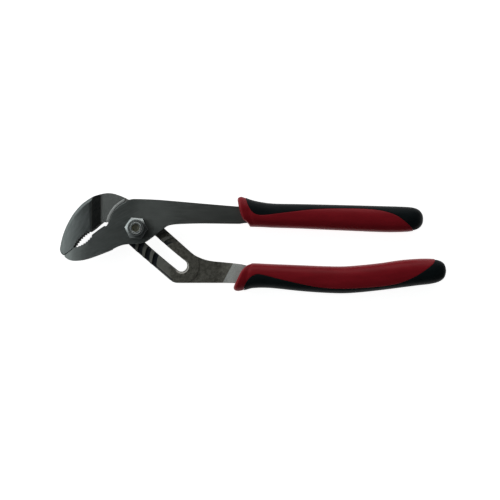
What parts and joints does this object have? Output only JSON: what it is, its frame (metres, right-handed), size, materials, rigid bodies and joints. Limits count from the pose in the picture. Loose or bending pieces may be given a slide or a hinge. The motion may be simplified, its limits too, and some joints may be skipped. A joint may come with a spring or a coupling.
{
  "type": "tongue and groove pliers",
  "caption": "Slip-joint pliers with offset toothed jaws, a slanted slot with grooves for the pivot bolt, and long two-tone cushioned grips.",
  "frame": {"origin": "on the pivot bolt's axis, at the flat underside of the bolt head, level with the surface the pliers lie on", "axes": "+X from the pivot towards the grips, +Y towards the upper jaw's back, +Z along the pivot bolt from head to nut"},
  "size_m": [0.2545, 0.066, 0.0217],
  "materials": {
    "forged_steel": "satin, ground flats over forged skin",
    "plated_steel": "bright, lightly oiled",
    "red_grip": "satin moulded",
    "black_grip": "soft-touch moulded"
  },
  "bodies": {
    "slotted_lever": {"slotted_half": "forged_steel", "lower_grip_body": "red_grip", "lower_grip_back": "black_grip"},
    "pivot": {"pivot_bolt": "plated_steel", "pivot_nut": "plated_steel"},
    "front_lever": {"front_half": "forged_steel", "upper_grip_body": "red_grip", "upper_grip_back": "black_grip"}
  },
  "joints": [
    {"name": "setting", "type": "hinge", "parent": "slotted_lever", "child": "pivot", "pos_m": [0.30026, 0.31751, 0.009], "axis": [0, 0, 1], "range_deg": [0, 4.8]},
    {"name": "handle_open", "type": "hinge", "parent": "pivot", "child": "front_lever", "pos_m": [0, 0, 0.009], "axis": [0, 0, 1], "range_deg": [0, 41]}
  ]
}
